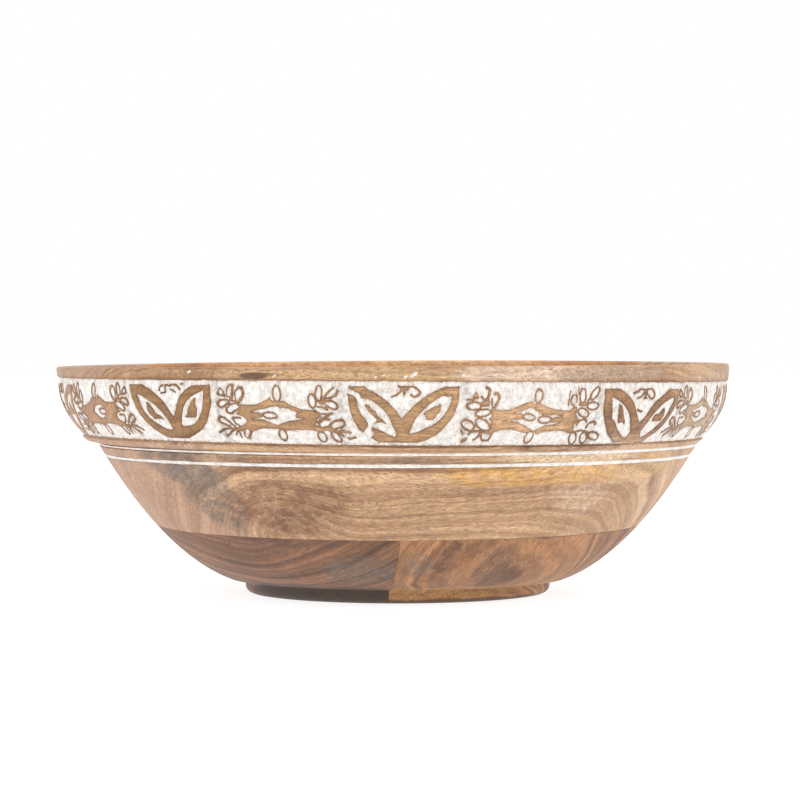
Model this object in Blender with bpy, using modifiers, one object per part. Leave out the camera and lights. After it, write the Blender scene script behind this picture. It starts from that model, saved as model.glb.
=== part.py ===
"""A turned wooden bowl with a carved, whitewashed band under its rim.

Units are metres and +Z is up. The origin is on the axis of the rim and the hollow, at the height of
the foot. The body and the foot were turned about a second axis, BODY_SHIFT to one side of the first,
so the band overhangs the body on one side and runs flush with it on the other.

The blank was glued up in two courses. The upper course is three boards laid side by side, and the
hollow cuts its middle board in two. The lower course is two boards, and the foot is turned from it.
White paste fills the ground of the carved band and the two lines scored under it.
"""

import math

import bpy

# Turned sizes
RIM_TOP = 0.1048
RIM_RADIUS = 0.1524
LIP_WALL = 0.0080
LIP_ROUND = 0.0014
HOLLOW_INSET = 0.0012
BODY_SHIFT = 0.0022
BODY_TOP = 0.0700
FOOT_RADIUS = 0.0693
FOOT_HEIGHT = 0.0061
FOOT_ROUND = 0.0030
FOOT_SHOULDER = 0.0003

# The body's wall is a parabola: radius = BODY_ROOT + BODY_SPREAD * sqrt(height - BODY_BASE)
BODY_ROOT = 0.0597
BODY_SPREAD = 0.3005
BODY_BASE = 0.0036

# The hollow is a parabola too, eased into a floor that lies HOLLOW_FLOOR above the parabola's base.
HOLLOW_ROOT = 0.0434
HOLLOW_SPREAD = 0.3213
HOLLOW_BASE = 0.0036
HOLLOW_FLOOR = 0.0094
HOLLOW_EASE = 4
PLUG_RISE = 0.01

# The carved band
BAND_TOP = 0.0980
BAND_BOTTOM = 0.0722
BAND_CROWN = 0.0945
BAND_RADIUS = 0.1515
BAND_DROP = 0.01057
RIM_OVERHANG = 0.0004
BAND_POWER = 1.85
# The moulded underside of the band, from the outside in, as radii and heights
BAND_UNDERSIDE = ((0.1402, 0.0704), (0.1386, 0.0692), (0.1368, 0.0688))
RECESS_DEPTH = 0.0012
PASTE = 0.0009

# The two scored lines, by the height of their middles
LINE_HEIGHTS = {"upper": 0.0677, "lower": 0.0628}
LINE_WIDTH = 0.0016
LINE_DEPTH = 0.0012

# The glued-up blank
GLUE_HEIGHT = 0.0315
GLUE_TILT = math.radians(0.6)
UPPER_SEAM = 0.0860
LOWER_SEAM = -0.0105
LOWER_TURN = math.radians(7.2)
GAP = 0.0003
BLANK_HALF = 0.160
BLANK_DEPTH = 0.030
BLANK_HEIGHT = 0.110

STEPS = 72
MERGE = 0.00001


def linear(code):
    """A display colour, written as six hex digits, as linear red, green, blue and alpha."""
    shares = [int(code[i : i + 2], 16) / 255 for i in (0, 2, 4)]
    return [s / 12.92 if s <= 0.04045 else ((s + 0.055) / 1.055) ** 2.4 for s in shares] + [1.0]


def material(name, code, roughness):
    made = bpy.data.materials.new(name)
    made.use_nodes = True
    shader = made.node_tree.nodes["Principled BSDF"]
    shader.inputs["Base Color"].default_value = linear(code)
    shader.inputs["Roughness"].default_value = roughness
    shader.inputs["Metallic"].default_value = 0.0
    return made


def band_radius(z):
    """The radius of the band's outer face, which curves in towards the body below its crown."""
    below = max(BAND_CROWN - z, 0.0) / (BAND_CROWN - BAND_BOTTOM)
    return BAND_RADIUS - BAND_DROP * below**BAND_POWER


def body_radius(z):
    return BODY_ROOT + BODY_SPREAD * math.sqrt(z - BODY_BASE)


def hollow_height(radius):
    """The height of the hollow's surface at a radius."""
    rise = (max(radius - HOLLOW_ROOT, 0.0) / HOLLOW_SPREAD) ** 2
    eased = (rise**HOLLOW_EASE + HOLLOW_FLOOR**HOLLOW_EASE) ** (1 / HOLLOW_EASE)
    return HOLLOW_BASE + eased


def spaced(start, end, count):
    return [start + (end - start) * i / (count - 1) for i in range(count)]


def rim_profile():
    """The lip, the recess that holds the band's paste, and the moulded edge under it."""
    profile = [(0.0, RIM_TOP), (RIM_RADIUS - 2 * LIP_ROUND, RIM_TOP)]
    profile += [(RIM_RADIUS - LIP_ROUND * 0.6, RIM_TOP - LIP_ROUND * 0.5)]
    profile += [(RIM_RADIUS, RIM_TOP - 2 * LIP_ROUND), (BAND_RADIUS + RIM_OVERHANG, BAND_TOP)]
    profile += [(band_radius(z) - RECESS_DEPTH, z) for z in spaced(BAND_TOP, BAND_BOTTOM, 7)]
    profile += [(band_radius(BAND_BOTTOM), BAND_BOTTOM), *BAND_UNDERSIDE]
    return profile + [(0.0, BAND_UNDERSIDE[-1][1])]


def line_notch(z):
    """The square notch scored round the body at a height, from its upper edge down."""
    top, bottom = z + LINE_WIDTH / 2, z - LINE_WIDTH / 2
    floor = body_radius(z) - LINE_DEPTH
    return [(body_radius(top), top), (floor, top), (floor, bottom), (body_radius(bottom), bottom)]


def body_profile():
    """The body from inside the band down to the foot, with a notch for each scored line."""
    profile = [(0.0, BODY_TOP), (body_radius(BODY_TOP), BODY_TOP)]
    for height in LINE_HEIGHTS.values():
        profile += line_notch(height)
    below_lines = min(LINE_HEIGHTS.values()) - 4 * LINE_WIDTH
    roots = spaced(math.sqrt(below_lines - BODY_BASE), math.sqrt(FOOT_HEIGHT - BODY_BASE), 9)
    profile += [(body_radius(BODY_BASE + root**2), BODY_BASE + root**2) for root in roots]
    profile += [(FOOT_RADIUS, FOOT_HEIGHT - FOOT_SHOULDER)]
    for turn in (0.0, 30.0, 60.0, 90.0):
        inward = FOOT_ROUND * (1 - math.cos(math.radians(turn)))
        down = FOOT_ROUND * (1 - math.sin(math.radians(turn)))
        profile += [(FOOT_RADIUS - inward, down)]
    return profile + [(0.0, 0.0)]


def hollow_profile():
    """The hollow as a solid plug, from above the lip down to the middle of the floor."""
    lip = RIM_RADIUS - LIP_WALL
    above = RIM_TOP + PLUG_RISE
    profile = [(0.0, above), (lip + LIP_ROUND, above)]
    profile += [(lip + LIP_ROUND, RIM_TOP), (lip, RIM_TOP - LIP_ROUND)]
    profile += [(r, hollow_height(r)) for r in spaced(lip - HOLLOW_INSET, HOLLOW_ROOT, 13)]
    return profile + [(0.0, hollow_height(0.0))]


def band_paste_profile():
    """A closed ring section: the outer face, then the inner face."""
    heights = spaced(BAND_TOP - GAP, BAND_BOTTOM + GAP, 7)
    outer = [(band_radius(z), z) for z in heights]
    inner = [(band_radius(z) - PASTE, z) for z in reversed(heights)]
    return outer + inner


def line_paste_profile(z):
    """A closed ring section that lies in one scored line."""
    top, bottom = z + LINE_WIDTH / 2 - GAP, z - LINE_WIDTH / 2 + GAP
    outer, inner = body_radius(z), body_radius(z) - LINE_DEPTH + GAP
    return [(outer, top), (outer, bottom), (inner, bottom), (inner, top)]


def turned(name, profile, folder, axis_x=0.0, closed=False):
    """A solid turned from a profile about an upright axis at axis_x."""
    mesh = bpy.data.meshes.new(name)
    edges = [(i, i + 1) for i in range(len(profile) - 1)]
    if closed:
        edges.append((len(profile) - 1, 0))
    mesh.from_pydata([(r, 0.0, z) for r, z in profile], edges, [])
    made = bpy.data.objects.new(name, mesh)
    made.location.x = axis_x
    folder.objects.link(made)
    screw = made.modifiers.new("turning", "SCREW")
    screw.axis = "Z"
    screw.angle = math.tau
    screw.steps = STEPS
    screw.render_steps = STEPS
    screw.use_merge_vertices = True
    screw.merge_threshold = MERGE
    return made


def combine(made, operation, other):
    cut = made.modifiers.new(operation.lower(), "BOOLEAN")
    cut.operation = operation
    cut.solver = "EXACT"
    cut.object = other


def board(name, low, high, turn, finish, folder):
    """A board of the blank, from its low to its high corner, before it is turned.

    The corners are in the blank's own directions. The whole blank is tilted by GLUE_TILT about its
    glue plane, and the lower course is turned about Z as well.
    """
    size = [high[i] - low[i] for i in range(3)]
    bpy.ops.mesh.primitive_cube_add(size=1.0)
    made = bpy.context.object
    made.name = name
    made.data.name = name
    middle = [(high[i] + low[i]) / 2 for i in range(3)]
    for vertex in made.data.vertices:
        vertex.co = [vertex.co[i] * size[i] + middle[i] for i in range(3)]
    made.location.z = GLUE_HEIGHT
    made.rotation_euler = (GLUE_TILT, 0.0, turn)
    for owner in list(made.users_collection):
        owner.objects.unlink(made)
    folder.objects.link(made)
    made.data.materials.append(finish)
    return made


def new_folder(name):
    folder = bpy.data.collections.new(name)
    bpy.context.scene.collection.children.link(folder)
    return folder


def main():
    for old in list(bpy.data.objects):
        bpy.data.objects.remove(old)
    parts = new_folder("carved_wooden_bowl")
    cutters = new_folder("cutters")

    # What the lathe left, as solids that the boards are trimmed to
    outside = turned("turned_rim", rim_profile(), cutters)
    body = turned("turned_body", body_profile(), cutters, BODY_SHIFT)
    hollow = turned("turned_hollow", hollow_profile(), cutters)
    combine(outside, "UNION", body)
    for cutter in (outside, body, hollow):
        cutter.hide_render = True
        cutter.display_type = "WIRE"

    # The boards, in the blank's own directions: X, Y and the height above the glue plane
    half, gap = BLANK_HALF, GAP / 2
    honey = material("mango_wood_light", "C39B72", 0.5)
    tan = material("mango_wood_tan", "B98F6B", 0.5)
    brown = material("mango_wood_brown", "9C7356", 0.5)
    amber = material("mango_wood_amber", "AF8059", 0.5)
    upper = {
        "upper_front_board": ((-half, -half), (half, -UPPER_SEAM - gap), honey),
        "upper_back_board": ((-half, UPPER_SEAM + gap), (half, half), honey),
        "upper_left_board": ((-half, -UPPER_SEAM + gap), (-half / 8, UPPER_SEAM - gap), tan),
        "upper_right_board": ((half / 8, -UPPER_SEAM + gap), (half, UPPER_SEAM - gap), tan),
    }
    lower = {
        "lower_left_board": ((-half, -half), (LOWER_SEAM - gap, half), brown),
        "lower_right_board": ((LOWER_SEAM + gap, -half), (half, half), amber),
    }
    boards = [
        board(name, (*low, gap), (*high, BLANK_HEIGHT), 0.0, finish, parts)
        for name, (low, high, finish) in upper.items()
    ]
    boards += [
        board(name, (*low, -2 * BLANK_DEPTH), (*high, -gap), LOWER_TURN, finish, parts)
        for name, (low, high, finish) in lower.items()
    ]
    for piece in boards:
        combine(piece, "INTERSECT", outside)
        combine(piece, "DIFFERENCE", hollow)

    # The white paste
    white = material("white_paste", "EDEAE4", 0.85)
    paste = [turned("band_white_paste", band_paste_profile(), parts, closed=True)]
    for place, height in LINE_HEIGHTS.items():
        name = place + "_line_white_paste"
        paste += [turned(name, line_paste_profile(height), parts, BODY_SHIFT, closed=True)]
    for ring in paste:
        ring.data.materials.append(white)


main()
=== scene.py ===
"""The looks of a turned wooden bowl with a carved, whitewashed band under its rim.

Units are metres and +Z is up, in the frame of the CAD model. An angle round the bowl is measured from
the front, where the camera stands, and grows to the right. Turned sizes, stains and the motifs of the
band are in millimetres. In a motif, X runs along the band from the motif's middle and Z is a height.
"""

import math

import bmesh
import bpy
import numpy as np
from mathutils import Matrix, Vector


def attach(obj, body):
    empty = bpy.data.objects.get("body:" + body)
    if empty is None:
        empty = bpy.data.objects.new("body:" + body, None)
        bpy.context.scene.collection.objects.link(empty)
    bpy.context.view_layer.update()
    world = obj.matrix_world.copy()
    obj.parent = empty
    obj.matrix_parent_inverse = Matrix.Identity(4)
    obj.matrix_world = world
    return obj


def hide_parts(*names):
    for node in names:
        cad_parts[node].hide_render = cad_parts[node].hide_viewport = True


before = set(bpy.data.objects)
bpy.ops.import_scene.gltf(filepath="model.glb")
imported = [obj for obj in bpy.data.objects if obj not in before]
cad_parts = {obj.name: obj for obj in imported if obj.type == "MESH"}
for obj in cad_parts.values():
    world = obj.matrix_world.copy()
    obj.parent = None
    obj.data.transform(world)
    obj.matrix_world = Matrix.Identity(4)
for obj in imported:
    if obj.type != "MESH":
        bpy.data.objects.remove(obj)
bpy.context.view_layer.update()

scene = bpy.context.scene
MM = 0.001


def add_object(name, data):
    made = bpy.data.objects.new(name, data)
    scene.collection.objects.link(made)
    return made


# ---- turned shape, in millimetres
# The body is a parabola: radius = BODY_ROOT + BODY_SPREAD * sqrt(height - BODY_BASE)
BODY_SHIFT = 2.2
BODY_ROOT = 59.7
BODY_SPREAD = 9.5026
BODY_BASE = 3.6

# The hollow is a parabola too, eased into a floor.
HOLLOW_ROOT = 43.4
HOLLOW_SPREAD = 10.16
HOLLOW_BASE = 3.6
HOLLOW_FLOOR = 9.4
HOLLOW_EASE = 4

# The band curves in towards the body below its crown.
BAND_LOW = 72.1
BAND_HIGH = 98.9
BAND_CROWN = 94.5
BAND_CURVE = 21.7
BAND_RADIUS = 151.5
BAND_DROP = 10.05
BAND_POWER = 1.85
BAND_MARGIN = 0.7
RECESS = 1.2
SLOPE_FOOT = 0.33  # a carved edge starts to rise this far outside its outline
SLOPE_WIDTH = 0.44

# The two scored lines, and the section of their notch as height and depth from the middle
UPPER_LINE = 67.7
LOWER_LINE = 62.8
NOTCH = ((-0.95, 0), (-0.8, 0.25), (-0.5, 0.8), (0, 0.95), (0.5, 0.8), (0.8, 0.25), (0.95, 0))

# The glued-up blank
GLUE_HEIGHT = 31.5
GLUE_TILT = math.radians(0.6)
GLUE_GAP = 0.05
SEAM_GAP = 0.02
UPPER_SEAM = 86
LOWER_SEAM = -10.5
LOWER_TURN = math.radians(7.2)

# Rings of the turned surface, as radii and heights
UNDERSIDE_RADII = (6, 14, 24, 34, 44, 54, 62)
FOOT_FLAT = 65.6
FOOT_OUT = 3.6
FOOT_UP = 3.2
FOOT_TURNS = (20, 40, 60, 80, 90)
FOOT_SIDE = ((69.3, 4.4), (69.3, 5.2), (69.6, 5.75), (70.6, 6.05), (72.4, 6.3))
BODY_LOW = 6.3
BODY_HIGH = 62.2
BODY_ROWS = 46
BODY_CROWDING = 1.25
BETWEEN_LINES = (64.5, 65.3, 66.0)
UNDER_BAND = ((136.8, 68.8), (138.5, 69.15), (139.6, 69.7), (140.2, 70.3), (140.6, 70.9))
RIM = (
    (152.2, 100.2), (152.35, 101.2), (152.35, 102.4), (152.3, 102.85), (152.1, 103.2), (151.7, 103.42),
    (151.2, 103.48), (149.9, 103.5), (147.9, 103.5), (146.7, 103.45), (145.9, 103.3), (145.4, 103.0),
    (145.0, 102.5), (144.7, 101.8), (144.4, 100.9), (143.9, 99.6),
)
RIM_STEP = 0.55
RIM_EASE = 0.4
HOLLOW_RADIUS = 143
HOLLOW_ROWS = 40
HOLLOW_STILL = 60  # the hollow is round below this, and wanders fully from HOLLOW_FADE above it
HOLLOW_FADE = 40
HOLLOW_LIP = 103
FLOOR_RADII = (38, 30, 22, 14, 7)


def body_radius(z):
    return BODY_ROOT + BODY_SPREAD * np.sqrt(np.maximum(z - BODY_BASE, 0.0))


def band_radius(z):
    below = np.maximum(BAND_CROWN - z, 0.0) / BAND_CURVE
    return BAND_RADIUS - BAND_DROP * below**BAND_POWER


def hollow_height(radius):
    rise = (np.maximum(radius - HOLLOW_ROOT, 0.0) / HOLLOW_SPREAD) ** 2
    return HOLLOW_BASE + (rise**HOLLOW_EASE + HOLLOW_FLOOR**HOLLOW_EASE) ** (1 / HOLLOW_EASE)


def shifted(radius, angle):
    """How far a circle about the body's axis is from the rim's axis, in a direction."""
    across = BODY_SHIFT * np.cos(angle)
    return BODY_SHIFT * np.sin(angle) + np.sqrt(radius**2 - across**2)


# How far the turned edges wander in height round the bowl: at each known height, a level and the
# amounts of the sine and cosine of the angle, then of twice the angle.
DRIFTS = {
    57.0: (0, 0, 0, 0, 0),
    LOWER_LINE: (0, 0.072, 0.132, 0, 0),
    UPPER_LINE: (0, -0.172, 0.137, 0, 0),
    72.8: (-0.1, -0.8, 0, -0.15, 0),
    BAND_HIGH: (-0.95, -0.85, 0, 0, 0.75),
    103.4: (0.06, 0.75, 0.75, 0, 0.35),
}


def height_drift(z, angle):
    """The drift of any height, mixed from the drifts of the known heights beside it."""
    waves = (np.ones_like(angle), np.sin(angle), np.cos(angle), np.sin(2 * angle), np.cos(2 * angle))
    amounts = [np.interp(z, list(DRIFTS), known) for known in zip(*DRIFTS.values())]
    return sum(amount * wave for amount, wave in zip(amounts, waves))


# ---- drawing of the motifs
CURVE_STEPS = 6
LINE_HALF = 0.38
LINE_SPREAD = 0.04
TINY = 1e-12


def curve(points):
    """Points on a smooth curve through the points given, without the last one."""
    points = np.array(points, float)
    if len(points) < 3:
        return points[:-1]
    ends = np.vstack([2 * points[0] - points[1], points, 2 * points[-1] - points[-2]])
    share = np.linspace(0, 1, CURVE_STEPS, endpoint=False)[:, None]
    found = []
    for p0, p1, p2, p3 in zip(ends, ends[1:], ends[2:], ends[3:]):
        square = 2 * p0 - 5 * p1 + 4 * p2 - p3
        cube = 3 * p1 - p0 - 3 * p2 + p3
        found.append((2 * p1 + (p2 - p0) * share + square * share**2 + cube * share**3) / 2)
    return np.vstack(found)


def squared_distance(x, z, start, end):
    """The squared distance to a straight line from start to end."""
    across, up = end[0] - start[0], end[1] - start[1]
    share = ((x - start[0]) * across + (z - start[1]) * up) / (across**2 + up**2 + TINY)
    share = np.clip(share, 0, 1)
    return (x - start[0] - share * across) ** 2 + (z - start[1] - share * up) ** 2


def inside_distance(x, z, arcs):
    """The distance to a closed outline, positive inside it.

    The outline is made of smooth arcs that meet at corners. Each arc runs on to the next one's start.
    """
    loop = np.vstack([curve([*arc, after[0]]) for arc, after in zip(arcs, arcs[1:] + arcs[:1])])
    nearest = np.full(x.shape, np.inf)
    inside = np.zeros(x.shape, bool)
    for (x0, z0), (x1, z1) in zip(loop, np.roll(loop, -1, axis=0)):
        nearest = np.minimum(nearest, squared_distance(x, z, (x0, z0), (x1, z1)))
        if z0 != z1:
            crosses = (z0 > z) != (z1 > z)
            inside ^= crosses & (x < (x1 - x0) * (z - z0) / (z1 - z0) + x0)
    return np.where(inside, 1, -1) * np.sqrt(nearest)


def stroke_distance(x, z, points):
    """The distance to an open line of points."""
    nearest = np.full(x.shape, np.inf)
    for start, end in zip(points, points[1:]):
        nearest = np.minimum(nearest, squared_distance(x, z, start, end))
    return np.sqrt(nearest)


def oval_distance(x, z, oval):
    """The distance to the line of an oval (x, z, half length, half width, degrees), about."""
    middle_x, middle_z, long, wide, turn = oval
    turn = math.radians(turn)
    along = (x - middle_x) * math.cos(turn) + (z - middle_z) * math.sin(turn)
    across = (z - middle_z) * math.cos(turn) - (x - middle_x) * math.sin(turn)
    share = np.hypot(along / long, across / wide)
    slope = np.hypot(along / long**2, across / wide**2)
    return share * (share - 1) / np.maximum(slope, TINY)


# Each motif: the wood left standing, the parts cut out of it and wood left inside those, as outlines,
# then thin lines by their half width, and ovals (x, z, half length, half width, degrees).
LEAVES_OPEN = {
    "wood": [[
        [(-22.9, 96.7)],
        [(-16.05, 96.7), (-14.9, 95.6), (-12.2, 94.3), (-8.5, 91.8), (-5.8, 89.5), (-3.1, 86.4)],
        [(-0.9, 83.4), (3, 78), (0, 74)],
        [(-2.9, 76.6), (-3.5, 78.2), (-4.9, 80.5), (-5.8, 83.2), (-7.6, 85.9), (-9.9, 88.2), (-12.2, 90),
         (-14.5, 91.4)],
        [(-17.9, 91.8), (-18.5, 93.6), (-20.8, 94.8), (-22.4, 95.5)],
    ], [
        [(-23.45, 93.9), (-20.4, 92.5), (-19.5, 90.9), (-19.2, 88.2), (-18.1, 85.5), (-16.3, 83.2)],
        [(-15.1, 81.5), (-15.5, 79.8)],
        [(-17.6, 77.3), (-19.5, 79.1), (-20.8, 81.8), (-22.1, 85), (-22.9, 89.1), (-23.3, 92.7)],
    ], [
        [(-13.3, 80), (-10.4, 78.6), (-6.7, 76.8), (-4, 75.7)], [(-2.9, 76.8), (1, 78)], [(2, 73.3)],
        [(-10.6, 73.3), (-12.6, 74.3)], [(-14.2, 75.2), (-12.9, 77), (-13.7, 78.6)],
    ], [
        [(-2.9, 75)],
        [(-0.9, 83.4), (1, 85.5), (3.3, 88), (5.5, 90.2), (8.3, 92.3), (11.5, 94.3), (14.2, 95.5),
         (16.9, 96.6), (20.5, 96.8)],
        [(23.2, 97), (22.7, 94.5), (22.6, 90.9), (21.7, 87.3), (20.5, 84.1), (18.7, 81.4), (16, 78.2),
         (13.3, 76.1), (9.6, 74.3)], [(6, 73.3), (-2.9, 73.3)],
    ]],
    "cut": [[
        [(2.4, 77), (3, 78.9), (4.2, 81.8), (5.5, 84.3), (7.4, 86.4), (9.6, 88.6), (11.5, 90.2), (14.2, 92),
         (16, 93), (18.3, 92.5)],
        [(19.6, 93.2), (19.6, 90.9), (18.3, 87.7), (16.9, 85.2), (15.1, 83), (12.4, 80.9), (8.7, 79.1),
         (5.5, 77.7)],
    ]],
    "isle": [[
        [(8, 85.5), (9.2, 86.4), (11.5, 88), (14.2, 88.9)],
        [(15.3, 90), (15.1, 86.4), (13.7, 85), (12.4, 83)], [(9.2, 83), (9, 84.3)],
    ], [
        [(-16.5, 89.3), (-14.9, 89.1), (-12.6, 86.8), (-11.7, 86.4), (-10.8, 84.3), (-8.5, 82.5)],
        [(-7.3, 80.9), (-9.5, 81.8)],
        [(-12.4, 81.3), (-11.5, 82.9), (-14, 85.5), (-15.8, 88)],
    ]],
    "lines": {
        0.33: [
            [(-1.6, 96.8), (-1.3, 95.2), (-2.6, 93.6), (-5, 92.4)], [(-2.2, 96.8), (0, 96.6), (2.8, 96.7)],
        ],
        0.4: [[(0.8, 95.3), (3, 96.7), (5.5, 95.7), (6.7, 94.1), (4.5, 92.5), (2.8, 93.3)]],
        0.5: [[(0, 96.4), (0.1, 93.9)]],
    },
}
LEAVES_LEFT = {
    "wood": [[
        [(-23.1, 96.8)],
        [(-14.5, 96.9), (-11.3, 95.5), (-8.5, 94.1), (-5.8, 92.3), (-3.1, 90.2), (-0.8, 87.3), (1, 83.6)],
        [(1.5, 83), (2.8, 84.5), (4.2, 86.8), (5.5, 89.1), (6.9, 91.4), (9.2, 93.6), (11.9, 95.5),
         (14.6, 96.6), (20.5, 96.8)],
        [(23.2, 97), (23.4, 93.2), (23.5, 90), (22.4, 86.8), (20.1, 82.7), (17.8, 80), (14.2, 77.3),
         (9.6, 75.2), (5.1, 73.6)], [(3.7, 73.3)],
        [(-7.6, 73.3), (-9.9, 74.1), (-13.5, 76.4), (-16.7, 79.5), (-19, 83.2), (-20.4, 86.8), (-21, 89.5),
         (-22.1, 93.2)],
    ]],
    "cut": [[
        [(-18.3, 92.7), (-14.9, 91.6), (-12.2, 90.2), (-8.5, 88.2), (-5.8, 85.9), (-4, 83.6), (-2.6, 80.9)],
        [(-2.2, 77.3), (-4.9, 77), (-8.5, 78.6), (-12.2, 80.9), (-14.9, 83.6), (-16.3, 86.8),
         (-17.2, 90.5)],
    ], [
        [(4.5, 78.6), (5.1, 80.9), (6.5, 83.6), (8.3, 86.8), (10.5, 89.5), (13.3, 91.6), (16.5, 93.2),
         (18.7, 94.1)],
        [(19, 95), (19.9, 93.6), (19.4, 90.5), (18.3, 86.8), (16.5, 84.1), (13.3, 80.9), (9.6, 79.3)],
    ]],
    "isle": [[
        [(-12.9, 89.3), (-11.3, 88.4), (-9.2, 85.9), (-8.5, 83.9), (-6.3, 83.2)],
        [(-5.1, 81.4), (-8.5, 81.8)],
        [(-10.8, 81.4), (-12.2, 83.2), (-13.3, 85), (-12.9, 86.8)],
    ], [
        [(7.6, 82.7), (9.6, 84.3), (11, 86.8), (12.8, 89.1), (14.2, 90.9)],
        [(16, 91.4), (15.1, 89.1), (15.5, 86.4)], [(14.2, 83), (11.5, 82.7)],
    ]],
    "lines": {
        0.3: [[(-4.2, 94.2), (-3.6, 95.8), (-2, 96.6)]],
        0.35: [
            [(-3.1, 93.2), (-0.4, 93.6), (-0.6, 95.4), (-0.4, 96.7), (1.9, 96.3)],
            [(2.4, 94.8), (3.8, 94.3), (5.1, 93.6)],
        ],
        0.45: [[(2.4, 96.8), (4.5, 96.8), (6, 96.4), (7.4, 94.9)]],
        0.5: [[(8.3, 97.2), (9.2, 97.1)]],
    },
}
LEAVES_RIGHT = {
    "wood": [[
        [(-23.8, 96.2)],
        [(-15.4, 96.2), (-12.6, 94.8), (-9.5, 92.7), (-6.7, 90), (-4, 86.4), (-1.7, 83.6)],
        [(0.8, 81.1), (2.4, 83.2), (3.7, 85.5), (5.5, 88.4), (7.4, 90.5), (11, 92.5), (14.2, 94.3),
         (16.5, 95.7), (20.5, 95.9)],
        [(24.6, 95.8), (24, 90.9), (22.6, 87.3), (20.8, 83.2), (19, 79.5), (16, 76.4), (13.3, 74.5)],
        [(11, 72.2)],
        [(-9.6, 72.4), (-14, 75), (-17.2, 77.3), (-20.4, 80.9), (-22.6, 84.5), (-23.8, 87.7),
         (-24.1, 90.9)],
    ]],
    "cut": [[
        [(-19.9, 92.7), (-16.7, 91.4), (-13.1, 89.5), (-10.8, 87.7), (-8.5, 85.5), (-6.3, 82.7), (-4.5, 80),
         (-2.6, 77.3)],
        [(-3.3, 74.5), (-6.7, 75.5), (-9.5, 77.3), (-12.2, 79.1), (-14.9, 81.8), (-17.4, 83.6),
         (-18.3, 86.4), (-19.2, 89.5)],
    ], [
        [(4.6, 77.3), (5.5, 79.5), (6.9, 82.7), (8.3, 85), (10.5, 87.3), (13.3, 89.5), (16.5, 91.1),
         (20.1, 91.8)],
        [(20.8, 90.2), (19, 87.7), (18.3, 85), (16.5, 81.8), (14.2, 79.5), (11.5, 76.8), (8.3, 75),
         (6, 75.2)],
    ]],
    "isle": [[
        [(-15.4, 89.5), (-13.5, 88.9), (-12.2, 86.8), (-10.8, 84.1), (-9.2, 82.3)],
        [(-8.5, 80.5), (-10.8, 81.6), (-12.6, 81.1), (-14, 83.2), (-14.9, 85.9)],
    ], [
        [(8.7, 81.8), (9.2, 84.5), (11.9, 85), (14.2, 87.5), (15.5, 86.8), (16, 84.1)],
        [(15.5, 81.8), (12.4, 81.8)],
    ]],
    "lines": {
        0.38: [[(-4.9, 94.8), (-3.1, 95.8), (0.5, 95.8)], [(0, 95.2), (-2.2, 93), (-4.7, 92)]],
        0.4: [
            [(-0.6, 92), (1.2, 92)],
            [(0.6, 94.6), (1.8, 95.8), (4.2, 95.9), (5.8, 94.5), (6, 92.5), (4.2, 91.7), (2.4, 92.6),
             (1, 94.3)], [(-3.5, 87), (-2, 86.4), (-0.4, 86.1)],
        ],
        0.5: [[(-7.2, 94.2), (-4.9, 94.8)], [(0.1, 95.4), (0.2, 92.4)]],
    },
}
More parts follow.
